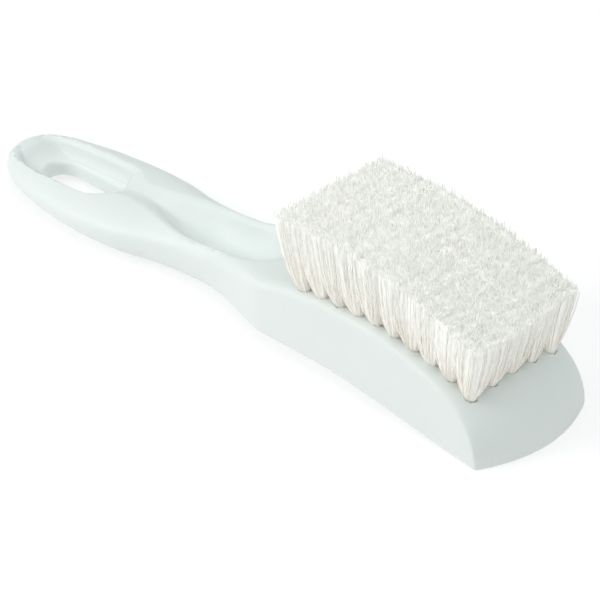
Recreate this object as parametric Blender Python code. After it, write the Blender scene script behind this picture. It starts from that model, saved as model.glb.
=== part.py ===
"""Hand-held scrub brush: one moulded handle and block, set with fifty tufts.

The brush lies on its back with the bristles up.  +X runs from the hanging end
of the handle to the nose of the block, +Z is up, and the origin is on the
surface that it lies on, under the middle of its length.
"""
import bpy
import bmesh
import numpy as np
from math import cos, sin, pi, radians, sqrt
from mathutils import Vector

MM = 0.001

# ---------------------------------------------------------------- dimensions
# All in millimetres.  Stations s run along the brush from the hanging end
# (s = 0) to the side corners of the nose (s = S_END).
LENGTH = 216.0                  # overall, hanging end to the middle of the nose
NOSE_BULGE = 6.5                # how far the nose curves out in plan
S_END = LENGTH - NOSE_BULGE     # station of the nose's two side corners
NOSE_START = 186.0              # the bristle face starts to roll down here

TIP_PLAN = 16.0                 # length of the rounded end, seen from above
TIP_SIDE = 5.0                  # length of the rounded end, seen from the side

# half width of the moulding, seen from above
HALF_WIDTH = ((0, 13.0), (12, 14.9), (28, 18.1), (44, 19.2), (58, 18.1), (72, 14.9),
              (84, 13.4), (94, 13.3), (102, 14.3), (109, 16.2), (114, 17.7),
              (118, 19.0), (121, 19.8), (124, 20.2), (130, 20.4), (150, 20.8),
              (180, 22.0), (S_END, 23.4))
# underside, above the surface that the brush lies on
UNDERSIDE = ((0, 4.2), (20, 1.3), (42, 0.2), (60, 0.0), (80, 0.8), (105, 2.6),
             (122, 3.5), (146, 4.0), (172, 2.4), (188, 0.8), (201, 0.0), (S_END, 0.0))
# top of the grip, then the bristle face up to the start of the nose roll
TOP = ((0, 11.8), (20, 12.6), (42, 13.6), (62, 15.0), (80, 16.5), (96, 17.7),
       (106, 18.8), (120, 21.2), (134, 24.4), (150, 26.2), (166, 26.4), (178, 25.0),
       (NOSE_START, 23.2))
NOSE_LIP = 1.2                  # height of the upright lip under the nose roll
# squareness of the cross-section: round grip, square block
SQUARE = ((0, 2.3), (60, 2.5), (90, 3.0), (102, 4.6), (112, 7.5), (124, 10.0), (150, 12.0), (S_END, 14.0))

# trough sunk along the bristle side of the handle: a level floor round the slot,
# a narrow valley over the saddle behind it, then a deep pocket with a ramp up to the block
CHANNEL_DEPTH = ((3.0, 0.0), (5.5, 1.7), (8.5, 3.6), (11.5, 4.9), (15, 5.6), (20, 5.8), (34, 5.8), (39.5, 5.6),
                 (42.5, 4.7), (45.5, 2.6), (48, 1.2), (51, 0.7), (55, 0.9), (60, 1.8), (65, 3.3), (70, 5.1),
                 (75, 6.9), (80, 8.4), (86, 9.4), (91, 9.8), (96, 9.3), (102, 7.7), (108, 5.2), (114, 2.3), (119, 0.0))
CHANNEL_HALF = ((3.0, 3.0), (4.5, 5.4), (7, 7.5), (11, 9.0), (18, 10.0), (26, 10.2), (37, 10.1), (42, 8.6), (47, 4.3),
                (52, 2.5), (60, 3.7), (66, 5.3), (72, 7.2), (82, 9.1), (94, 9.6), (103, 9.9), (108, 9.3), (112, 7.9),
                (116, 5.0), (119, 2.0))
CHANNEL_FOOT = ((40, 0.73), (47, 0.02), (66, 0.02), (84, 0.20))      # half width of its level floor, as a share
CHANNEL_BEND = ((40, 2.0), (48, 1.6), (64, 1.5), (84, 2.0))          # 2 where its sides are round, less where straighter

# hanging slot, right through the grip
SLOT_START, SLOT_END = 13.4, 40.4
SLOT_HALF = 6.0
SLOT_CORNER = 3.6               # its corners at the block end; the other end is round
SLOT_LEVELS = ((-8.6, 2.2), (0.1, 1.9), (1.0, 0.8), (2.1, 0.0),      # height and how much
               (4.4, 0.0), (6.0, 0.3), (6.9, 0.9), (18.0, 1.1))    # wider it is there

# tuft field: columns along the brush, rows across it
COLUMNS, ROWS = 10, 5
BASE_FIRST, BASE_LAST = 138.6, 201.4         # stations of the first and last hole
BASE_HALF = 16.4                             # outer rows, at the holes
TIP_FIRST, TIP_LAST = 135.4, 204.9           # the same at the tips
TIP_HALF = 17.4
TIP_HEIGHT = ((131, 49.6), (150, 49.7), (170, 48.0), (190, 43.6), (209, 37.2))
HOLE_RADIUS = 2.0
HOLE_DEPTH = 11.0
STEM_GAP = 0.35                 # between a tuft and the wall of its hole
TUFT_GAP = 0.36                 # between neighbouring tufts at the tips
STEM_FREE = 2.6                 # a tuft stays slim this far above its hole

SIDES = 12                      # of a hole and of a tuft


# ---------------------------------------------------------------- curves
def curve(knots):
    """A smooth curve through the knots that never overshoots them."""
    x = np.array([k[0] for k in knots], float)
    y = np.array([k[1] for k in knots], float)
    h = np.diff(x)
    d = np.diff(y) / h
    m = np.zeros(len(x))
    m[0], m[-1] = d[0], d[-1]
    for i in range(1, len(x) - 1):
        if d[i - 1] * d[i] > 0:
            a, b = 2 * h[i] + h[i - 1], h[i] + 2 * h[i - 1]
            m[i] = (a + b) / (a / d[i - 1] + b / d[i])

    def f(t):
        t = min(max(t, x[0]), x[-1])
        i = min(int(np.searchsorted(x, t, side="right")) - 1, len(h) - 1)
        i = max(i, 0)
        u = (t - x[i]) / h[i]
        return float((1 + 2 * u) * (1 - u) ** 2 * y[i] + u * (1 - u) ** 2 * h[i] * m[i]
                     + u * u * (3 - 2 * u) * y[i + 1] + u * u * (u - 1) * h[i] * m[i + 1])
    return f


half_width = curve(HALF_WIDTH)
underside = curve(UNDERSIDE)
top_line = curve(TOP)
square = curve(SQUARE)
channel_depth = curve(CHANNEL_DEPTH)
channel_half = curve(CHANNEL_HALF)
channel_foot = curve(CHANNEL_FOOT)
channel_bend = curve(CHANNEL_BEND)
tip_height = curve(TIP_HEIGHT)


def ease(a, b, t):
    """0 below a, 1 above b, smooth between."""
    u = min(max((t - a) / (b - a), 0.0), 1.0)
    return u * u * (3 - 2 * u)


def rounded(length, t, power):
    """The rounded end of an outline: 0 at its end, 1 from length on."""
    u = 1 - min(max(t / length, 0.0), 1.0)
    return (1 - u ** power) ** (1 / power)


def top_at(s):
    """Height of the crown of the section at station s."""
    if s <= NOSE_START:
        return top_line(s)
    u = min((s - NOSE_START) / (S_END - NOSE_START), 1.0)
    high = top_line(NOSE_START)
    slope = (top_line(NOSE_START) - top_line(NOSE_START - 2)) / 2
    roll = (1 - u ** 2.1) ** (1 / 1.8)
    return NOSE_LIP + (high - NOSE_LIP + slope * (s - NOSE_START) * (1 - u)) * roll


def bulge(y):
    w = half_width(S_END)
    return NOSE_BULGE * max(0.0, 1 - (y / w) ** 2)


def pushed(s, y):
    """Where station s ends up along the brush, with the nose curved in plan."""
    u = min(max((s - (NOSE_START - 10)) / (S_END - NOSE_START + 10), 0.0), 1.0)
    return s + bulge(y) * u * u * (3 - 2 * u)


def trough_half(s):
    return min(channel_half(s), half_width(s) * rounded(TIP_PLAN, s, 2.3) * 0.68)


def sunk(s, y):
    """How far the trough goes down below the plain top."""
    half = trough_half(s)
    if not CHANNEL_DEPTH[0][0] < s < CHANNEL_DEPTH[-1][0] or half < 0.5:
        return 0.0
    foot = channel_foot(s)
    u = max(0.0, (abs(y) / half - foot) / (1 - foot))
    return channel_depth(s) * max(0.0, 1 - u ** channel_bend(s))


# ---------------------------------------------------------------- the moulding
TOP_STEPS, SIDE_STEPS = 14, 4


def ring_angles():
    quarter = pi / 4
    a = [3 * quarter + 2 * quarter * i / SIDE_STEPS for i in range(SIDE_STEPS)]
    a += [5 * quarter + 2 * quarter * i / TOP_STEPS for i in range(TOP_STEPS)]
    a += [7 * quarter + 2 * quarter * i / SIDE_STEPS for i in range(SIDE_STEPS)]
    return a


def columns(s, w, n):
    """Where the rows of points on the top lie across: close together on the
    walls of the trough, evenly spread on the block."""
    corner, rim = w * 0.5 ** (1 / n), trough_half(s)
    foot = max(channel_foot(s), 0.25) * rim
    along = ease(116, 128, s)
    half = [corner]
    for narrow, wide in (((corner + rim) / 2, 0.84), (rim, 0.66), ((2 * rim + foot) / 3, 0.50),
                         ((rim + 2 * foot) / 3, 0.36), (foot, 0.24), (foot / 2, 0.12)):
        half.append(narrow + (wide * w - narrow) * along)
    return half + [0.0] + [-y for y in half[:0:-1]]


def section(s, s_shape=None):
    """The closed outline at station s, as a list of points in millimetres."""
    shape = s if s_shape is None else s_shape
    low, high = underside(shape), top_at(shape)
    w = half_width(shape) * rounded(TIP_PLAN, shape, 2.3)
    h = (high - low) / 2 * rounded(TIP_SIDE, shape, 2.5)
    mid = (high + low) / 2
    n = square(shape)
    points = []
    for y in columns(shape, w, n):
        z = mid + h * (1 - (abs(y) / w) ** n) ** (1 / n) - sunk(shape, y)
        points.append((pushed(s, y) - LENGTH / 2, y, z))
    for a in ring_angles():
        c, d = cos(a), sin(a)
        r = (abs(c) ** n + abs(d) ** n) ** (-1 / n)
        y, z = w * c * r, mid + h * d * r
        if d < 0 and n > 8 and abs(y) < 0.78 * w:
            z = mid - h                     # the block's underside is flat across
        points.append((pushed(s, y) - LENGTH / 2, y, z))
    return points


def stations():
    s = [(0.0, 0.10), (0.45, 0.45), (1.2, 1.2), (2.3, 2.3), (3.6, 3.6), (4.5, 4.5), (5.6, 5.6), (6.8, 6.8),
         (8.2, 8.2), (10.2, 10.2)]
    t = 13.2
    while t < 44:
        s.append((t, t))
        t += 4.4
    while t < 100:
        s.append((t, t))
        t += 3.6
    while t < 126:
        s.append((t, t))
        t += 2.1
    while t < NOSE_START - 8:
        s.append((t, t))
        t += 7.0
    span = S_END - (NOSE_START - 8)
    steps = 11
    for i in range(steps + 1):
        u = i / steps
        v = sin(u * pi / 2)
        s.append((NOSE_START - 8 + span * (0.35 * u + 0.65 * v), ) * 2)
    return s


def closed_mesh(name, rings, cap_start, cap_end):
    """Skin a row of rings, each with the same number of points."""
    bm = bmesh.new()
    rows = [[bm.verts.new(Vector(p) * MM) for p in ring] for ring in rings]
    count = len(rings[0])
    for a, b in zip(rows, rows[1:]):
        for i in range(count):
            j = (i + 1) % count
            bm.faces.new((a[i], a[j], b[j], b[i]))
    cap_start(bm, rows[0])
    cap_end(bm, rows[-1])
    bmesh.ops.recalc_face_normals(bm, faces=bm.faces[:])
    mesh = bpy.data.meshes.new(name)
    bm.to_mesh(mesh)
    bm.free()
    return mesh


def flat_cap(bm, row):
    bm.faces.new(row)


def nose_cap(bm, row):
    """Close the upright lip of the nose with a strip that follows its curve."""
    n = len(row)
    top = [row[i] for i in range(0, TOP_STEPS + 1)]
    low = [row[(2 * TOP_STEPS + SIDE_STEPS - i) % n] for i in range(0, TOP_STEPS + 1)]
    left = [row[i] for i in range(TOP_STEPS, TOP_STEPS + SIDE_STEPS + 1)]
    right = [row[i % n] for i in range(2 * TOP_STEPS + SIDE_STEPS, n + 1)]
    for i in range(TOP_STEPS):
        bm.faces.new((top[i], top[i + 1], low[i + 1], low[i]))
    bm.faces.new(left)
    bm.faces.new(right)


# ---------------------------------------------------------------- materials
def plastic(name, colour, roughness):
    material = bpy.data.materials.new(name)
    material.use_nodes = True
    shader = material.node_tree.nodes["Principled BSDF"]
    shader.inputs["Base Color"].default_value = (*colour, 1)
    shader.inputs["Roughness"].default_value = roughness
    shader.inputs["Metallic"].default_value = 0.0
    return material


def add(name, mesh, material=None):
    body = bpy.data.objects.new(name, mesh)
    bpy.context.scene.collection.objects.link(body)
    if material is not None:
        mesh.materials.clear()
        mesh.materials.append(material)
    return body


def smooth(mesh, angle):
    mesh.shade_smooth()
    mesh.set_sharp_from_angle(angle=radians(angle))


def cutter(name, mesh):
    body = add(name, mesh)
    body.hide_render = True
    body.display_type = "WIRE"
    return body


# ---------------------------------------------------------------- tuft places
def surface_height(x, y):
    """Height of the bristle face at a distance x along the brush."""
    low, high = x - NOSE_BULGE - 1, x + 1
    for _ in range(40):
        mid = (low + high) / 2
        if pushed(mid, y) < x:
            low = mid
        else:
            high = mid
    s = (low + high) / 2
    n, w = square(s), half_width(s)
    h = (top_at(s) - underside(s)) / 2
    return underside(s) + h + h * (1 - min(abs(y) / w, 0.999) ** n) ** (1 / n)


def tuft_place(column, row):
    """Mouth of the hole, middle of the tips and the unit axis, in millimetres."""
    u = column / (COLUMNS - 1)
    v = 2 * row / (ROWS - 1) - 1
    bx, by = BASE_FIRST + u * (BASE_LAST - BASE_FIRST), v * BASE_HALF
    tx, ty = TIP_FIRST + u * (TIP_LAST - TIP_FIRST), v * TIP_HALF
    mouth = Vector((bx - LENGTH / 2, by, surface_height(bx, by)))
    tip = Vector((tx - LENGTH / 2, ty, tip_height(tx)))
    axis = (tip - mouth).normalized()
    return mouth, tip, axis


def frame_of(axis):
    side = Vector((0, 1, 0)).cross(axis).normalized()
    return side, axis.cross(side).normalized()


def circle_ring(centre, axis, radius):
    e1, e2 = frame_of(axis)
    return [centre + e1 * (radius * cos(2 * pi * k / SIDES)) + e2 * (radius * sin(2 * pi * k / SIDES))
            for k in range(SIDES)]


def hole_cutters():
    """All the blind holes, each a round drill with a shallow point."""
    bm = bmesh.new()
    for column in range(COLUMNS):
        for row in range(ROWS):
            mouth, tip, axis = tuft_place(column, row)
            rings = [circle_ring(mouth - axis * HOLE_DEPTH, axis, HOLE_RADIUS),
                     circle_ring(mouth + axis * 5, axis, HOLE_RADIUS)]
            low = [bm.verts.new(p * MM) for p in rings[0]]
            high = [bm.verts.new(p * MM) for p in rings[1]]
            point = bm.verts.new((mouth - axis * (HOLE_DEPTH + 0.8)) * MM)
            for k in range(SIDES):
                j = (k + 1) % SIDES
                bm.faces.new((low[k], low[j], high[j], high[k]))
                bm.faces.new((low[j], low[k], point))
            bm.faces.new(high)
    bmesh.ops.recalc_face_normals(bm, faces=bm.faces[:])
    mesh = bpy.data.meshes.new("tuft_holes_cutter")
    bm.to_mesh(mesh)
    bm.free()
    return mesh


def slot_cutter():
    """The hanging slot: a long opening with rounded rims."""
    arc = 7                                     # facets in the round end
    tip, back = SLOT_START + SLOT_HALF, SLOT_END - SLOT_CORNER
    side = SLOT_HALF - SLOT_CORNER
    outline = []                                # centre, direction and radius
    for start, cy in ((-90, -side), (0, side)):
        for k in range(4):
            a = radians(start + 90 * k / 3)
            outline.append((back, cy, cos(a), sin(a), SLOT_CORNER))
    for k in range(arc + 1):
        a = radians(90 + 180 * k / arc)
        outline.append((tip, 0.0, cos(a), sin(a), SLOT_HALF))
    rings = []
    for z, more in SLOT_LEVELS:
        rings.append([(x - LENGTH / 2 + (r + more) * c, y + (r + more) * d, z)
                      for x, y, c, d, r in outline])
    return closed_mesh("slot_cutter", rings, flat_cap, flat_cap)


def tuft_mesh(name, column, row):
    """One tuft, from the bottom of its hole to its cut ends."""
    mouth, tip, axis = tuft_place(column, row)
    stem = HOLE_RADIUS - STEM_GAP
    pitch_x = (TIP_LAST - TIP_FIRST) / (COLUMNS - 1)
    pitch_y = 2 * TIP_HALF / (ROWS - 1)
    half_x, half_y = (pitch_x - TUFT_GAP) / 2, (pitch_y - TUFT_GAP) / 2
    rings = [circle_ring(mouth - axis * (HOLE_DEPTH - 0.35), axis, stem * 0.86),
             circle_ring(mouth - axis * (HOLE_DEPTH - 1.2), axis, stem),
             circle_ring(mouth + axis * STEM_FREE, axis, stem)]
    start = mouth + axis * STEM_FREE
    slope = (tip_height(tip.x + LENGTH / 2 + 2) - tip_height(tip.x + LENGTH / 2 - 2)) / 4
    e1, e2 = frame_of(axis)
    for t in (0.45, 1.0):
        centre = start.lerp(tip, t)
        ring = []
        for k in range(SIDES):
            a = 2 * pi * k / SIDES
            c, d = cos(a), sin(a)
            r = (abs(c) ** 4 + abs(d) ** 4) ** -0.25
            round_part = e1 * (stem * c) + e2 * (stem * d)
            cell = Vector((half_x * c * r, half_y * d * r, half_x * c * r * slope))
            grow = t ** 0.9
            ring.append(centre + round_part * (1 - grow) + cell * grow)
        rings.append(ring)

    def domed(bm, row_verts):
        top = bm.verts.new((tip + Vector((0, 0, 0.5))) * MM)
        for k in range(SIDES):
            bm.faces.new((row_verts[k], row_verts[(k + 1) % SIDES], top))
    return closed_mesh(name, rings, flat_cap, domed)


# ---------------------------------------------------------------- build
def main():
    for old in list(bpy.data.objects):
        bpy.data.objects.remove(old, do_unlink=True)

    body_plastic = plastic("white_moulded_plastic", (0.80, 0.865, 0.86), 0.38)
    bristle = plastic("cream_bristle_filament", (0.87, 0.845, 0.77), 0.62)

    rings = [section(s, shape) for s, shape in stations()]
    moulding = add("handle_block", closed_mesh("handle_block", rings, flat_cap, nose_cap), body_plastic)
    smooth(moulding.data, 32)
    for name, mesh in (("slot_cutter", slot_cutter()), ("tuft_holes_cutter", hole_cutters())):
        tool = cutter(name, mesh)
        cut = moulding.modifiers.new(name, "BOOLEAN")
        cut.operation = "DIFFERENCE"
        cut.solver = "EXACT"
        cut.object = tool

    brush = bpy.data.objects.new("scrub_brush", None)
    bpy.context.scene.collection.objects.link(brush)
    moulding.parent = brush
    for row in range(ROWS):
        for column in range(COLUMNS):
            name = "tuft_r%d_c%02d" % (row + 1, column + 1)
            tuft = add(name, tuft_mesh(name, column, row), bristle)
            smooth(tuft.data, 40)
            tuft.parent = brush


main()
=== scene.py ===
from math import cos, pi, radians, sin

import bpy
import numpy as np
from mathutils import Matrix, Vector


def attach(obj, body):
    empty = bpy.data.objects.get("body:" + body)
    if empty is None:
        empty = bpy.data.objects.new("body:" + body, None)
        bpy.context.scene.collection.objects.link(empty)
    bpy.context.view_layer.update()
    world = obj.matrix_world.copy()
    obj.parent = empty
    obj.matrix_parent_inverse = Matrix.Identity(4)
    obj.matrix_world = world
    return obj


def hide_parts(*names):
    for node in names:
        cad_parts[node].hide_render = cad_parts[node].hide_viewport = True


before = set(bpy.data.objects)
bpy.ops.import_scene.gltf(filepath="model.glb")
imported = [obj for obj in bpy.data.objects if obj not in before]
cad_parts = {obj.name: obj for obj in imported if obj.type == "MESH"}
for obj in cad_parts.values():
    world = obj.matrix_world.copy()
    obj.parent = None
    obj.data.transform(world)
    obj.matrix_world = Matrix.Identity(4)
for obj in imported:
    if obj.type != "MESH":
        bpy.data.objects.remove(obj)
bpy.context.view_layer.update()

MM = 0.001

# ---------------------------------------------------------------- camera
# The picture is taken to be 600 by 600 pixels.  Angles and distance come from
# the outline of the brush.
AZIMUTH, ELEVATION = radians(44.81), radians(31.78)
FOCAL_PX, DISTANCE = 3705.8, 1.0792
OFF_X, OFF_Y = -29.74, -58.83           # where the target is, from the middle
right = Vector((cos(AZIMUTH), sin(AZIMUTH), 0))
back = Vector((sin(AZIMUTH) * cos(ELEVATION), -cos(AZIMUTH) * cos(ELEVATION), sin(ELEVATION)))
up = back.cross(right)
camera = bpy.data.objects.new("camera", bpy.data.cameras.new("camera"))
bpy.context.scene.collection.objects.link(camera)
bpy.context.scene.camera = camera
camera.data.sensor_width = 36.0
camera.data.lens = FOCAL_PX * 36.0 / 600.0
camera.data.dof.use_dof = False
camera.data.clip_start, camera.data.clip_end = 0.05, 20.0
camera.location = Vector((0, 0, 0.020)) + back * DISTANCE
aim = -back - right * (OFF_X / FOCAL_PX) + up * (OFF_Y / FOCAL_PX)
camera.rotation_mode = "QUATERNION"
camera.rotation_quaternion = aim.to_track_quat("-Z", "Y")

# ---------------------------------------------------------------- dimensions
# All in millimetres.  Stations s run along the brush from the hanging end.
LENGTH, NOSE_BULGE = 216.0, 6.5
S_END = LENGTH - NOSE_BULGE
NOSE_START = 186.0
TIP_PLAN, TIP_SIDE = 16.0, 5.0
NOSE_LIP = 1.2
HALF_WIDTH = ((0, 13.0), (12, 14.9), (28, 18.1), (44, 19.2), (58, 18.1), (72, 14.9),
              (84, 13.4), (94, 13.3), (102, 14.3), (109, 16.2), (114, 17.7),
              (118, 19.0), (121, 19.8), (124, 20.2), (130, 20.4), (150, 20.8),
              (180, 22.0), (S_END, 23.4))
UNDERSIDE = ((0, 4.2), (20, 1.3), (42, 0.2), (60, 0.0), (80, 0.8), (105, 2.6),
             (122, 3.5), (146, 4.0), (172, 2.4), (188, 0.8), (201, 0.0), (S_END, 0.0))
TOP = ((0, 11.8), (20, 12.6), (42, 13.6), (62, 15.0), (80, 16.5), (96, 17.7),
       (106, 18.8), (120, 21.2), (134, 24.4), (150, 26.2), (166, 26.4), (178, 25.0),
       (NOSE_START, 23.2))
SQUARE = ((0, 2.3), (60, 2.5), (90, 3.0), (102, 4.6), (112, 7.5), (124, 10.0), (150, 12.0), (S_END, 14.0))
CHANNEL_DEPTH = ((3.0, 0.0), (5.5, 1.7), (8.5, 3.6), (11.5, 4.9), (15, 5.6), (20, 5.8), (34, 5.8), (39.5, 5.6),
                 (42.5, 4.7), (45.5, 2.6), (48, 1.2), (51, 0.7), (55, 0.9), (60, 1.8), (65, 3.3), (70, 5.1),
                 (75, 6.9), (80, 8.4), (86, 9.4), (91, 9.8), (96, 9.3), (102, 7.7), (108, 5.2), (114, 2.3), (119, 0.0))
CHANNEL_HALF = ((3.0, 3.0), (4.5, 5.4), (7, 7.5), (11, 9.0), (18, 10.0), (26, 10.2), (37, 10.1), (42, 8.6), (47, 4.3),
                (52, 2.5), (60, 3.7), (66, 5.3), (72, 7.2), (82, 9.1), (94, 9.6), (103, 9.9), (108, 9.3), (112, 7.9),
                (116, 5.0), (119, 2.0))
CHANNEL_FOOT = ((40, 0.73), (47, 0.02), (66, 0.02), (84, 0.20))
CHANNEL_BEND = ((40, 2.0), (48, 1.6), (64, 1.5), (84, 2.0))
SLOT_START, SLOT_END, SLOT_HALF, SLOT_CORNER = 13.4, 40.4, 6.0, 3.6

COLUMNS, ROWS = 10, 5
BASE_FIRST, BASE_LAST, BASE_HALF = 138.6, 201.4, 16.4
TIP_FIRST, TIP_LAST, TIP_HALF = 135.4, 204.9, 17.4
TIP_HEIGHT = ((131, 49.6), (150, 49.7), (170, 48.0), (190, 43.6), (209, 37.2))
HOLE_RADIUS = 2.0


# ---------------------------------------------------------------- curves
def curve(knots):
    """A smooth curve through the knots that never overshoots them, for arrays."""
    x = np.array([k[0] for k in knots], float)
    y = np.array([k[1] for k in knots], float)
    h = np.diff(x)
    d = np.diff(y) / h
    m = np.zeros(len(x))
    m[0], m[-1] = d[0], d[-1]
    for i in range(1, len(x) - 1):
        if d[i - 1] * d[i] > 0:
            a, b = 2 * h[i] + h[i - 1], h[i] + 2 * h[i - 1]
            m[i] = (a + b) / (a / d[i - 1] + b / d[i])

    def exact(t):
        t = np.clip(np.asarray(t, float), x[0], x[-1])
        i = np.clip(np.searchsorted(x, t, side="right") - 1, 0, len(h) - 1)
        u = (t - x[i]) / h[i]
        return ((1 + 2 * u) * (1 - u) ** 2 * y[i] + u * (1 - u) ** 2 * h[i] * m[i]
                + u * u * (3 - 2 * u) * y[i + 1] + u * u * (u - 1) * h[i] * m[i + 1])

    at = np.linspace(x[0], x[-1], 6001)
    table = exact(at)
    return lambda t: np.interp(t, at, table)


half_width, underside, top_line = curve(HALF_WIDTH), curve(UNDERSIDE), curve(TOP)
square, channel_depth = curve(SQUARE), curve(CHANNEL_DEPTH)
channel_half, channel_foot = curve(CHANNEL_HALF), curve(CHANNEL_FOOT)
channel_bend = curve(CHANNEL_BEND)
tip_height = curve(TIP_HEIGHT)


def ease(a, b, t):
    u = np.clip((t - a) / (b - a), 0.0, 1.0)
    return u * u * (3 - 2 * u)


def rounded(length, t, power):
    u = 1 - np.clip(t / length, 0.0, 1.0)
    return np.maximum(1 - u ** power, 0.0) ** (1 / power)


def top_at(s):
    u = np.clip((s - NOSE_START) / (S_END - NOSE_START), 0.0, 1.0)
    high = float(top_line(NOSE_START))
    slope = (high - float(top_line(NOSE_START - 2))) / 2
    roll = np.maximum(1 - u ** 2.1, 0.0) ** (1 / 1.8)
    nose = NOSE_LIP + (high - NOSE_LIP + slope * (s - NOSE_START) * (1 - u)) * roll
    return np.where(s <= NOSE_START, top_line(s), nose)


def bulge(y):
    return NOSE_BULGE * np.maximum(0.0, 1 - (y / float(half_width(S_END))) ** 2)


def station(x, y):
    """The station of a point at x millimetres from the hanging end."""
    push, s = bulge(y), x.copy()
    for _ in range(9):
        u = np.clip((s - (NOSE_START - 10)) / (S_END - NOSE_START + 10), 0.0, 1.0)
        s = x - push * u * u * (3 - 2 * u)
    return s


def sunk(s, y):
    """How far the trough goes down below the plain top; below 0 outside it."""
    half = np.minimum(channel_half(s), half_width(s) * rounded(TIP_PLAN, s, 2.3) * 0.68)
    foot = channel_foot(s)
    u = np.maximum((np.abs(y) / np.maximum(half, 0.3) - foot) / (1 - foot), 0.0)
    first, last = CHANNEL_DEPTH[0][0], CHANNEL_DEPTH[-1][0]
    inside = channel_depth(s) * (1 - u ** channel_bend(s))
    beside = np.where(u < 1, 20.0, (half - np.abs(y)) * 0.9)
    beyond = np.minimum((s - first) * 1.4, (last - s) * 0.55)
    return np.clip(np.minimum(np.minimum(inside, beside), beyond), -5.0, 20.0)


# ---------------------------------------------------------------- the moulding
def outer(x, y, z):
    """Below 0 inside the moulding before its trough, slot and holes are made."""
    s = station(x, y)
    c = np.clip(s, 0.02, S_END)
    low, high = underside(c), top_at(c)
    w = half_width(c) * rounded(TIP_PLAN, c, 2.3)
    h = (high - low) / 2 * rounded(TIP_SIDE, c, 2.5)
    n = square(c)
    a, b = np.abs(y) / w, np.abs(z - (high + low) / 2) / h
    m = np.maximum(np.maximum(a, b), 1e-6)
    return m * ((a / m) ** n + (b / m) ** n) ** (1 / n) - 1


def above_trough(x, y, z):
    """Above 0 over the floor and the walls of the trough."""
    c = np.clip(x, 0.02, S_END - 10)
    low, high = underside(c), top_at(c)
    w = half_width(c) * rounded(TIP_PLAN, c, 2.3)
    h = (high - low) / 2 * rounded(TIP_SIDE, c, 2.5)
    n = square(c)
    a = np.minimum(np.abs(y) / w, 0.8)      # beyond this the walls of the trough don't reach
    return z - (high + low) / 2 - h * (1 - a ** n) ** (1 / n) + sunk(c, y)


def distance(solid, x, y, z):
    """The same as a distance in millimetres, true near the surface."""
    e = 0.03
    gx = (solid(x + e, y, z) - solid(x - e, y, z)) / (2 * e)
    gy = (solid(x, y + e, z) - solid(x, y - e, z)) / (2 * e)
    gz = (solid(x, y, z + e) - solid(x, y, z - e)) / (2 * e)
    return solid(x, y, z) / np.maximum(np.sqrt(gx * gx + gy * gy + gz * gz), 0.02)


def both(a, b, r):
    """The common part of two solids, with its edge rounded to radius r."""
    u, v = np.maximum(a + r, 0), np.maximum(b + r, 0)
    return np.minimum(-r, np.maximum(a, b)) + np.sqrt(u * u + v * v)


def slot_distance(x, y):
    tip, back_end = SLOT_START + SLOT_HALF, SLOT_END - SLOT_CORNER
    side = SLOT_HALF - SLOT_CORNER
    round_end = np.hypot(x - tip, y) - SLOT_HALF
    qx, qy = x - back_end, np.abs(y) - side
    square_end = (np.hypot(np.maximum(qx, 0), np.maximum(qy, 0))
                  + np.minimum(np.maximum(qx, qy), 0) - SLOT_CORNER)
    return np.where(x < tip, round_end, square_end)


def surface_height(x, y):
    s = station(np.atleast_1d(float(x)), np.atleast_1d(float(y)))
    n, w = square(s), half_width(s)
    h = (top_at(s) - underside(s)) / 2
    return float((underside(s) + h + h * (1 - np.minimum(abs(y) / w, 0.999) ** n) ** (1 / n))[0])


def tuft_place(column, row):
    """Mouth of the hole, middle of the tips and the unit axis, in millimetres."""
    u = column / (COLUMNS - 1)
    v = 2 * row / (ROWS - 1) - 1
    bx, by = BASE_FIRST + u * (BASE_LAST - BASE_FIRST), v * BASE_HALF
    tx, ty = TIP_FIRST + u * (TIP_LAST - TIP_FIRST), v * TIP_HALF
    mouth = np.array((bx, by, surface_height(bx, by)))
    tip = np.array((tx, ty, float(tip_height(tx))))
    axis = (tip - mouth) / np.linalg.norm(tip - mouth)
    return mouth, tip, axis


PLACES = {(c, r): tuft_place(c, r) for r in range(ROWS) for c in range(COLUMNS)}
HOLE_SHOWN = 4.0                # depth to which the holes are modelled here


def holes_distance(x, y, z):
    """Distance to the nearest hole, below 0 inside it."""
    best = np.full(x.shape, 50.0)
    for mouth, _, axis in PLACES.values():
        near = (np.abs(x - mouth[0]) < 4.5) & (np.abs(y - mouth[1]) < 4.5) & (z > mouth[2] - 8)
        if not near.any():
            continue
        px, py, pz = x[near] - mouth[0], y[near] - mouth[1], z[near] - mouth[2]
        t = px * axis[0] + py * axis[1] + pz * axis[2]
        r = np.sqrt(np.maximum(px * px + py * py + pz * pz - t * t, 0))
        best[near] = np.minimum(best[near], np.maximum(r - HOLE_RADIUS, -(t + HOLE_SHOWN)))
    return best


def slot_rim(z):
    """How much wider the slot is at its lower and its upper rim."""
    return 1.9 * ease(2.3, 0.0, z) ** 1.5 + 0.9 * ease(5.2, 7.4, z) ** 1.5


RIM = 2.2                       # radius of the edges of the trough


def moulding(x, y, z):
    s = station(x, y)
    d = distance(outer, x, y, z)
    d = both(d, 0.2 - s, 1.0)
    d = both(d, s - S_END, 0.45)
    over = s < 130
    d[over] = both(d[over], distance(above_trough, x[over], y[over], z[over]), RIM)
    d[over] = both(d[over], slot_rim(z[over]) - slot_distance(x[over], y[over]), 0.35)
    return both(d, -holes_distance(x, y, z), 0.22)


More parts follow.
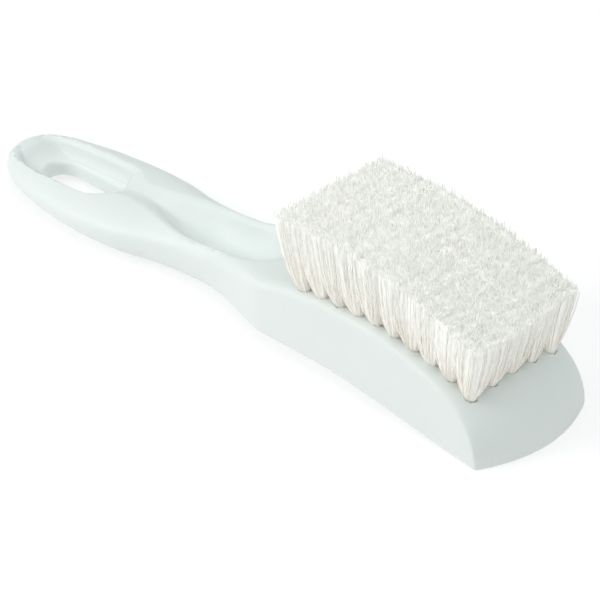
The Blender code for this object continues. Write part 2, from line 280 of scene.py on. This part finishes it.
def skin_of(solid, low, high, step, block=48):
    """A mesh of quads over the surface of an implicit solid: points and faces."""
    counts = [int(np.ceil((b - a) / step)) + 1 for a, b in zip(low, high)]
    axes = [a + step * np.arange(n) for a, n in zip(low, counts)]
    value = np.empty(counts)
    for i in range(0, counts[0], block):
        x, y, z = np.meshgrid(axes[0][i:i + block], axes[1], axes[2], indexing="ij")
        value[i:i + block] = solid(x.ravel(), y.ravel(), z.ravel()).reshape(x.shape)
    inside = value < 0
    corners = [(a, b, c) for a in (0, 1) for b in (0, 1) for c in (0, 1)]
    nx, ny, nz = (n - 1 for n in counts)
    total = sum(inside[a:a + nx, b:b + ny, c:c + nz].astype(np.int8) for a, b, c in corners)
    cells = np.argwhere((total > 0) & (total < 8))
    index = np.full((nx, ny, nz), -1, np.int64)
    index[tuple(cells.T)] = np.arange(len(cells))
    at = {c: value[cells[:, 0] + c[0], cells[:, 1] + c[1], cells[:, 2] + c[2]] for c in corners}
    middle, hits = np.zeros((len(cells), 3)), np.zeros(len(cells))
    for a in corners:
        for axis in range(3):
            if a[axis]:
                continue
            b = tuple(1 if k == axis else a[k] for k in range(3))
            cross = (at[a] < 0) != (at[b] < 0)
            t = np.where(cross, at[a] / np.where(cross, at[a] - at[b], 1), 0)
            point = np.tile(np.array(a, float), (len(cells), 1))
            point[:, axis] += t
            middle += point * cross[:, None]
            hits += cross
    points = np.array(low) + step * (cells + middle / hits[:, None])
    faces = []
    for axis in range(3):
        o1, o2 = [k for k in range(3) if k != axis]
        first = [slice(1, None)] * 3
        first[axis] = slice(0, counts[axis] - 1)
        second = list(first)
        second[axis] = slice(1, None)
        a, b = inside[tuple(first)], inside[tuple(second)]
        edge = np.argwhere(a != b)
        leaves = a[tuple(edge.T)]
        edge[:, o1] += 1
        edge[:, o2] += 1
        keep = (edge[:, o1] < counts[o1] - 1) & (edge[:, o2] < counts[o2] - 1)
        edge, leaves = edge[keep], leaves[keep]
        ring = []
        for d1, d2 in ((-1, -1), (0, -1), (0, 0), (-1, 0)):
            c = edge.copy()
            c[:, o1] += d1
            c[:, o2] += d2
            ring.append(index[tuple(c.T)])
        quad = np.stack(ring, 1)
        flip = leaves == (axis == 1)
        quad[flip] = quad[flip][:, ::-1]
        faces.append(quad)
    return points, np.concatenate(faces)


def slope_of(solid, p, e=0.04):
    grad = np.empty_like(p)
    for k in range(3):
        step = np.zeros(3)
        step[k] = e
        a, b = p + step, p - step
        grad[:, k] = (solid(*a.T) - solid(*b.T)) / (2 * e)
    return grad


def settle(solid, p, times, most):
    """Moves points onto the surface of the solid."""
    for _ in range(times):
        g = slope_of(solid, p)
        f = solid(*p.T)
        move = -f[:, None] * g / np.maximum((g * g).sum(1), 0.05)[:, None]
        size = np.linalg.norm(move, axis=1, keepdims=True)
        p = p + move * np.minimum(1, most / np.maximum(size, 1e-9))
    return p


def relax(p, faces, share):
    """Evens out the faces without leaving the surface much."""
    total, count = np.zeros_like(p), np.zeros(len(p))
    for k in range(4):
        a, b = faces[:, k], faces[:, (k + 1) % 4]
        for i in range(3):
            total[:, i] += np.bincount(a, p[b, i], len(p)) + np.bincount(b, p[a, i], len(p))
        count += np.bincount(a, minlength=len(p)) + np.bincount(b, minlength=len(p))
    return p + share * (total / np.maximum(count, 1)[:, None] - p)


def mesh_from(name, points, faces):
    """A mesh from arrays; faces all have the same number of corners."""
    mesh = bpy.data.meshes.new(name)
    n, k = faces.shape
    mesh.vertices.add(len(points))
    mesh.vertices.foreach_set("co", np.ascontiguousarray(points, np.float32).ravel())
    mesh.loops.add(n * k)
    mesh.loops.foreach_set("vertex_index", np.ascontiguousarray(faces, np.int32).ravel())
    mesh.polygons.add(n)
    mesh.polygons.foreach_set("loop_start", np.arange(0, n * k, k, dtype=np.int32))
    mesh.update(calc_edges=True)
    mesh.validate()
    return mesh


def add(name, mesh, material):
    piece = bpy.data.objects.new(name, mesh)
    bpy.context.scene.collection.objects.link(piece)
    mesh.materials.append(material)
    mesh.polygons.foreach_set("use_smooth", np.ones(len(mesh.polygons), bool))
    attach(piece, "root")
    return piece


SKIN_STEP = 0.6
points, faces = skin_of(moulding, (-0.9, -24.3, -0.9), (217.0, 24.4, 27.6), SKIN_STEP)
points = settle(moulding, points, 3, 0.4)
for _ in range(2):
    points = relax(points, faces, 0.5)
    points = settle(moulding, points, 2, 0.3)
normals = slope_of(moulding, points, 0.08)
normals /= np.maximum(np.linalg.norm(normals, axis=1, keepdims=True), 1e-9)
points = np.clip(points, (0.0, -23.4, 0.0), (216.0, 23.4, 50.0))
skin = mesh_from("handle_block_skin", (points - (LENGTH / 2, 0, 0)) * MM, faces)


# ---------------------------------------------------------------- materials
def new_material(name):
    material = bpy.data.materials.new(name)
    material.use_nodes = True
    tree = material.node_tree
    shader = tree.nodes["Principled BSDF"]
    return material, tree, shader


def node(tree, kind, **values):
    n = tree.nodes.new(kind)
    for key, value in values.items():
        if key in n.bl_rna.properties:
            setattr(n, key, value)
        else:
            n.inputs[key.replace("_", " ")].default_value = value
    return n


def noise(tree, where, scale, detail=3.0, roughness=0.55, distortion=0.0):
    n = node(tree, "ShaderNodeTexNoise")
    n.inputs["Scale"].default_value = scale
    n.inputs["Detail"].default_value = detail
    n.inputs["Roughness"].default_value = roughness
    n.inputs["Distortion"].default_value = distortion
    tree.links.new(where, n.inputs["Vector"])
    return n.outputs["Fac"]


def spread(tree, value, low, high, out_low, out_high):
    n = node(tree, "ShaderNodeMapRange")
    n.inputs["From Min"].default_value = low
    n.inputs["From Max"].default_value = high
    n.inputs["To Min"].default_value = out_low
    n.inputs["To Max"].default_value = out_high
    tree.links.new(value, n.inputs["Value"])
    return n.outputs["Result"]


def blend(tree, factor, a, b):
    n = node(tree, "ShaderNodeMix", data_type="RGBA")
    for socket, value in ((n.inputs[0], factor), (n.inputs[6], a), (n.inputs[7], b)):
        if isinstance(value, (int, float)):
            socket.default_value = value
        elif isinstance(value, tuple):
            socket.default_value = (*value, 1)
        else:
            tree.links.new(value, socket)
    return n.outputs[2]


def maths(tree, operation, a, b):
    n = node(tree, "ShaderNodeMath", operation=operation)
    for socket, value in ((n.inputs[0], a), (n.inputs[1], b)):
        if isinstance(value, (int, float)):
            socket.default_value = value
        else:
            tree.links.new(value, socket)
    return n.outputs[0]


def body_plastic():
    material, tree, shader = new_material("white_moulded_plastic_surface")
    where = node(tree, "ShaderNodeTexCoord").outputs["Object"]
    broad = noise(tree, where, 28.0, 2.0)
    flow = noise(tree, where, 75.0, 4.0, 0.6, 0.8)
    fine = noise(tree, where, 1400.0, 2.0)
    grain = noise(tree, where, 5200.0, 1.0)
    tone = blend(tree, spread(tree, broad, 0.35, 0.65, 0.0, 1.0), (0.700, 0.742, 0.729), (0.712, 0.752, 0.743))
    tone = blend(tree, spread(tree, flow, 0.40, 0.72, 0.0, 0.35), tone, (0.730, 0.760, 0.745))
    # the plastic is made paler on sharp outward edges
    edge_pointiness = node(tree, "ShaderNodeNewGeometry").outputs["Pointiness"]
    tone = blend(tree, spread(tree, edge_pointiness, 0.52, 0.60, 0.0, 0.45), tone, (0.775, 0.802, 0.792))
    tree.links.new(tone, shader.inputs["Base Color"])
    rough = maths(tree, "ADD", spread(tree, flow, 0.3, 0.75, 0.46, 0.58), spread(tree, fine, 0.3, 0.7, -0.03, 0.04))
    tree.links.new(rough, shader.inputs["Roughness"])
    height = maths(tree, "ADD", maths(tree, "MULTIPLY", fine, 0.55), maths(tree, "MULTIPLY", grain, 0.25))
    height = maths(tree, "ADD", height, maths(tree, "MULTIPLY", flow, 1.6))
    bump = node(tree, "ShaderNodeBump")
    bump.inputs["Strength"].default_value = 0.35
    bump.inputs["Distance"].default_value = 0.00008
    tree.links.new(height, bump.inputs["Height"])
    tree.links.new(bump.outputs["Normal"], shader.inputs["Normal"])
    shader.inputs["IOR"].default_value = 1.49
    shader.inputs["Subsurface Weight"].default_value = 0.5
    shader.inputs["Subsurface Radius"].default_value = (1.0, 1.0, 1.0)
    shader.inputs["Subsurface Scale"].default_value = 0.0012
    return material


def filament():
    material, tree, shader = new_material("cream_bristle_filament_surface")
    tint = node(tree, "ShaderNodeAttribute", attribute_name="tint").outputs["Fac"]
    along = node(tree, "ShaderNodeAttribute", attribute_name="along").outputs["Fac"]
    where = node(tree, "ShaderNodeTexCoord").outputs["Object"]
    mottle = noise(tree, where, 900.0, 2.0)
    pale = blend(tree, tint, (0.950, 0.945, 0.905), (0.985, 0.980, 0.950))
    # painted shade: the filaments are made warmer and a little darker towards their feet, where the warm shade between
    # the tufts falls
    foot_painted_shade = blend(tree, tint, (0.950, 0.905, 0.835), (0.975, 0.950, 0.905))
    tone = blend(tree, spread(tree, along, 0.12, 0.62, 0.0, 1.0), foot_painted_shade, pale)
    tone = blend(tree, spread(tree, mottle, 0.45, 0.75, 0.0, 0.25), tone, (0.975, 0.970, 0.940))
    tree.links.new(tone, shader.inputs["Base Color"])
    rough = maths(tree, "ADD", spread(tree, tint, 0.0, 1.0, 0.46, 0.62), spread(tree, mottle, 0.3, 0.7, -0.04, 0.05))
    tree.links.new(rough, shader.inputs["Roughness"])
    bump = node(tree, "ShaderNodeBump")
    bump.inputs["Strength"].default_value = 0.3
    bump.inputs["Distance"].default_value = 0.00003
    tree.links.new(noise(tree, where, 3800.0, 1.0), bump.inputs["Height"])
    tree.links.new(bump.outputs["Normal"], shader.inputs["Normal"])
    shader.inputs["IOR"].default_value = 1.5
    shader.inputs["Specular IOR Level"].default_value = 0.35
    # a faint painted glow stands in for the light that comes through the filaments from their neighbours
    shader.inputs["Emission Color"].default_value = (1.0, 0.975, 0.92, 1)
    shader.inputs["Emission Strength"].default_value = 0.03
    return material


white_plastic = body_plastic()
cream_filament = filament()

body = add("handle_block_skin", skin, white_plastic)
skin.normals_split_custom_set_from_vertices([tuple(n) for n in normals])
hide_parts("handle_block")

# ---------------------------------------------------------------- the tufts
FILAMENTS = 230                 # of a tuft
OUTSIDE = 76                    # of these, round its outside
SEGMENTS = 18
SINK = 3.6                      # a filament starts this deep in its hole
THICK = 0.185                   # its radius
RIDGES, LEVELS = 72, 16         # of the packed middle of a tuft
PACKED = 0.98                   # its width at the top as a share of the tuft's
SHORT = 1.5                     # how far it ends below the tips

PITCH_X = (TIP_LAST - TIP_FIRST) / (COLUMNS - 1)
PITCH_Y = 2 * TIP_HALF / (ROWS - 1)


def across(axis):
    side = np.cross((0.0, 1.0, 0.0), axis)
    side /= np.linalg.norm(side)
    return side, np.cross(axis, side)


def fanned(column, row, disc):
    """Foot and end of filaments at the given places in the round bundle, which
    opens into the square field that its neighbours leave it."""
    mouth, tip, axis = PLACES[column, row]
    e1, e2 = across(axis)
    c, d = disc[:, 0], disc[:, 1]
    box = np.maximum(np.hypot(c, d), 1e-6) / np.maximum(np.maximum(np.abs(c), np.abs(d)), 1e-6)
    cell = 1 + (box - 1) * 0.96
    slope = float(tip_height(tip[0] + 2) - tip_height(tip[0] - 2)) / 4
    edge_x = ((column == 0) & (c < 0)) | ((column == COLUMNS - 1) & (c > 0))
    edge_y = ((row == 0) & (d < 0)) | ((row == ROWS - 1) & (d > 0))
    dx = c * cell * PITCH_X * np.where(edge_x, 0.51, 0.57)
    dy = d * cell * PITCH_Y * np.where(edge_y, 0.51, 0.57)
    # the far corner of the field at the nose is pressed back a little
    dx -= 2.2 * np.clip((tip[0] + dx - 184) / 25, 0, 1) ** 2 * np.clip((tip[1] + dy + 18) / 36, 0, 1) ** 1.5
    foot = mouth + np.outer(c * (HOLE_RADIUS - 0.22), e1) + np.outer(d * (HOLE_RADIUS - 0.22), e2)
    return foot, np.stack([tip[0] + dx, tip[1] + dy, tip[2] + dx * slope], 1), axis


def lanes(foot, end, axis, t):
    """Centre lines from the bottom of the hole to the ends, and how much of the
    free length lies below each of their points."""
    start = foot - axis * SINK
    length = np.linalg.norm(end - foot, axis=1) + SINK
    sink = (SINK / length)[:, None]
    free = np.clip((t[None, :] - sink) / (1 - sink), 0, 1)
    straight = start[:, None, :] + axis * (t[None, :, None] * length[:, None, None])
    away = (end - (start + axis * length[:, None]))[:, None, :]
    return straight + away * (np.sin(pi / 2 * free) ** 0.62)[:, :, None], free, length


def packed(column, row, rng):
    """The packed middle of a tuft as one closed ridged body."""
    theta = 2 * pi * np.arange(RIDGES) / RIDGES
    out = PACKED + rng.uniform(-0.03, 0.03, RIDGES) - 0.025 * (np.arange(RIDGES) % 2)
    disc = np.stack([out * np.cos(theta), out * np.sin(theta)], 1)
    foot, end, axis = fanned(column, row, disc)
    end[:, 2] -= SHORT + rng.uniform(-0.35, 0.35, RIDGES)
    t = np.linspace(0, 1, LEVELS + 1)
    path, free, _ = lanes(foot, end, axis, t)
    slim = 1 - 0.02 * np.sin(pi * free ** 0.8) + 0.08 * (1 - free) ** 5
    centre = path.mean(axis=0, keepdims=True)
    path = centre + (path - centre) * slim[:, :, None]
    path += rng.normal(0, 0.05, path.shape) * np.minimum(free * 4, 1)[:, :, None]
    points = [path.transpose(1, 0, 2).reshape(-1, 3)]
    tint = [np.tile(rng.random(RIDGES), LEVELS + 1)]
    along = [free.T.reshape(-1)]
    for share in (0.80, 0.60, 0.40, 0.20):
        _, inner, _ = fanned(column, row, disc * share)
        inner[:, 2] -= SHORT + rng.uniform(-0.45, 0.45, RIDGES)
        points.append(inner)
        tint.append(rng.random(RIDGES))
        along.append(np.ones(RIDGES))
    _, middle, _ = fanned(column, row, np.zeros((1, 2)))
    middle[:, 2] -= SHORT
    mouth = PLACES[column, row][0]
    points += [middle, (mouth - axis * SINK)[None]]
    tint.append(np.array([0.5, 0.5]))
    along.append(np.array([1.0, 0.0]))
    points = np.concatenate(points)
    rings = LEVELS + 5
    i, j = np.meshgrid(np.arange(rings - 1), np.arange(RIDGES), indexing="ij")
    k = (j + 1) % RIDGES
    a, b, c, d = i * RIDGES + j, i * RIDGES + k, (i + 1) * RIDGES + k, (i + 1) * RIDGES + j
    tris = [np.stack([a, b, c], -1).reshape(-1, 3), np.stack([a, c, d], -1).reshape(-1, 3)]
    j = np.arange(RIDGES)
    k = (j + 1) % RIDGES
    top = (rings - 1) * RIDGES
    tris += [np.stack([top + j, top + k, np.full(RIDGES, rings * RIDGES)], 1),
             np.stack([k, j, np.full(RIDGES, rings * RIDGES + 1)], 1)]
    u = np.tile(np.arange(RIDGES) / RIDGES, rings)
    v = np.repeat(np.arange(rings) / rings, RIDGES)
    flat = np.concatenate([np.stack([u, v], 1), [[0.5, 1.0], [0.5, 0.0]]])
    return points, np.concatenate(tris), np.concatenate(tint), np.concatenate(along), flat


def tuft(column, row):
    """A whole tuft: points, faces, tint, along and a flat map."""
    rng = np.random.default_rng(1000 + 37 * row + column)
    _, _, axis = PLACES[column, row]
    e1, e2 = across(axis)
    n = FILAMENTS
    outside = np.arange(n) >= n - OUTSIDE
    k = np.arange(n) + 0.5
    radius = np.where(outside, rng.uniform(0.95, 1.03, n), np.sqrt(k / (n - OUTSIDE)))
    angle = np.where(outside, k * 2 * pi / OUTSIDE, k * pi * (3 - 5 ** 0.5)) + rng.uniform(0, 2 * pi)
    disc = np.stack([radius * np.cos(angle), radius * np.sin(angle)], 1)
    disc += rng.normal(0, 0.02, disc.shape)
    foot, end, axis = fanned(column, row, disc)
    end[:, :2] += rng.normal(0, 0.5, (n, 2))
    end[:, 2] += np.where(outside, rng.normal(-0.6, 0.5, n), rng.normal(-0.6, 0.36, n))
    end[:, 2] += np.where(rng.random(n) < 0.04, rng.uniform(0.3, 0.9, n), 0)
    t = np.linspace(0, 1, SEGMENTS + 1)
    path, free, length = lanes(foot, end, axis, t)
    # a slow bow and a fine crimp, each in its own direction
    turn = rng.uniform(0, 2 * pi, n)
    bow = np.clip(rng.normal(0, 0.40, n), -0.8, 0.8)
    bow_dir = np.outer(np.cos(turn), e1) + np.outer(np.sin(turn), e2)
    path += bow_dir[:, None, :] * (bow[:, None] * np.sin(pi * free) * free)[:, :, None]
    turn = rng.uniform(0, 2 * pi, n)
    wave_dir = np.outer(np.cos(turn), e1) + np.outer(np.sin(turn), e2)
    wave_len = rng.uniform(4.6, 6.4, n)
    phase = rng.uniform(0, 2 * pi, n)
    size = rng.uniform(0.08, 0.20, n)
    along_mm = free * (length - SINK)[:, None]
    wave = size[:, None] * np.sin(2 * pi * along_mm / wave_len[:, None] + phase[:, None]) * ease(0.02, 0.3, free)
    path += wave_dir[:, None, :] * wave[:, :, None]

    tangent = np.gradient(path, axis=1)
    tangent /= np.linalg.norm(tangent, axis=2, keepdims=True)
    first = np.cross(tangent, np.array((0.31, 0.95, 0.05)))
    first /= np.linalg.norm(first, axis=2, keepdims=True)
    second = np.cross(tangent, first)
    spin = rng.uniform(0, 2 * pi, n)
    thick = THICK * rng.uniform(0.86, 1.14, n)
    taper = 1 - 0.15 * ease(0.9, 1.0, t)
    rings = []
    for j in range(3):
        a = spin + 2 * pi * j / 3
        rings.append(path + (thick[:, None] * taper)[:, :, None]
                     * (np.cos(a)[:, None, None] * first + np.sin(a)[:, None, None] * second))
    p = np.stack(rings, 2)                              # filament, ring, corner
    m = SEGMENTS + 1
    base = (np.arange(n) * m * 3)[:, None, None]
    i = (np.arange(SEGMENTS) * 3)[None, :, None]
    j = np.arange(3)[None, None, :]
    j2 = (j + 1) % 3
    quads = np.stack([base + i + j, base + i + j2, base + i + 3 + j2, base + i + 3 + j], -1).reshape(-1, 4)
    b = base[:, 0, 0]
    tris = np.concatenate([quads[:, (0, 1, 2)], quads[:, (0, 2, 3)],
                           np.stack([b, b + 2, b + 1], 1),
                           np.stack([b + 3 * SEGMENTS, b + 3 * SEGMENTS + 1, b + 3 * SEGMENTS + 2], 1)])
    tint = np.repeat(rng.random(n), m * 3)
    along = np.repeat(free, 3, axis=1).reshape(-1)
    # a flat map: one narrow column for each filament, its foot at the bottom
    u = (np.arange(n)[:, None, None] + np.array((0.2, 0.5, 0.8))[None, None, :]) / n
    u = np.tile(u, (1, m, 1)).reshape(-1)
    v = np.tile(np.repeat(t, 3), n) * 0.84 + 0.01
    core, core_tris, core_tint, core_along, core_flat = packed(column, row, rng)
    p = p.reshape(-1, 3)
    core_flat = core_flat * (0.98, 0.12) + (0.01, 0.87)
    return (np.concatenate([p, core]), np.concatenate([tris, core_tris + len(p)]),
            np.concatenate([tint, core_tint]), np.concatenate([along, core_along]),
            np.concatenate([np.stack([u, v], 1), core_flat]))


room_low = np.array((0.0, -23.3, 0.0))
room_high = np.array((215.9, 23.3, 50.1))
for (column, row) in PLACES:
    name = "tuft_r%d_c%02d" % (row + 1, column + 1)
    p, tris, tint, along, flat = tuft(column, row)
    p = np.clip(p, room_low, room_high)
    mesh = mesh_from(name + "_filaments", (p - (LENGTH / 2, 0, 0)) * MM, tris)
    for key, value in (("tint", tint), ("along", along)):
        mesh.attributes.new(key, "FLOAT", "POINT").data.foreach_set("value", value.astype(np.float32))
    layer = mesh.uv_layers.new(name="OFBake")
    corner = np.empty(len(mesh.loops), np.int32)
    mesh.loops.foreach_get("vertex_index", corner)
    layer.uv.foreach_set("vector", flat[corner].astype(np.float32).ravel())
    piece = add(name + "_filaments", mesh, cream_filament)
    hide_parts(name)

# ---------------------------------------------------------------- the studio
floor_mesh = mesh_from("studio_floor", np.array([(-6, -6, 0), (6, -6, 0), (6, 6, 0), (-6, 6, 0)], float),
                       np.array([(0, 1, 2, 3)]))
floor = bpy.data.objects.new("studio_floor", floor_mesh)
bpy.context.scene.collection.objects.link(floor)
floor_material, floor_tree, floor_shader = new_material("studio_floor_paper")
floor_shader.inputs["Base Color"].default_value = (0.42, 0.42, 0.42, 1)
floor_shader.inputs["Roughness"].default_value = 0.9
floor_shader.inputs["Specular IOR Level"].default_value = 0.1
floor_shader.inputs["Emission Color"].default_value = (1.0, 1.0, 1.0, 1)
floor_shader.inputs["Emission Strength"].default_value = 0.58
floor_mesh.materials.append(floor_material)


def area_light(name, place, target, size, power, colour=(1, 1, 1)):
    data = bpy.data.lights.new(name, "AREA")
    data.shape = "DISK"
    data.size = size
    data.energy = power
    data.color = colour
    lamp = bpy.data.objects.new(name, data)
    bpy.context.scene.collection.objects.link(lamp)
    lamp.location = place
    lamp.rotation_mode = "QUATERNION"
    lamp.rotation_quaternion = (Vector(target) - Vector(place)).to_track_quat("-Z", "Y")
    return lamp


area_light("key", (-0.85, -1.28, 0.92), (0, 0, 0.02), 0.8, 13.5, (1.0, 0.99, 0.975))
area_light("top", (-0.1, 0.1, 1.6), (0, 0, 0.02), 1.8, 3.4, (1.0, 0.99, 0.975))
area_light("fill", (0.95, -0.35, 1.35), (0, 0, 0.02), 1.2, 3.6)

world = bpy.data.worlds.new("studio_world")
bpy.context.scene.world = world
world.use_nodes = True
sky, sky_tree = world.node_tree.nodes["Background"], world.node_tree
sky.inputs["Color"].default_value = (0.945, 1.0, 0.992, 1)
upward = node(sky_tree, "ShaderNodeSeparateXYZ")
sky_tree.links.new(node(sky_tree, "ShaderNodeTexCoord").outputs["Generated"], upward.inputs[0])
sky_tree.links.new(spread(sky_tree, upward.outputs["Z"], 0.0, 1.0, 0.28, 0.92), sky.inputs["Strength"])

bpy.context.scene.cycles.max_bounces = 24
bpy.context.scene.cycles.diffuse_bounces = 16
bpy.context.scene.view_settings.view_transform = "Standard"
bpy.context.scene.view_settings.look = "None"
bpy.context.scene.view_settings.exposure = 0.0
bpy.context.scene.view_settings.gamma = 1.0
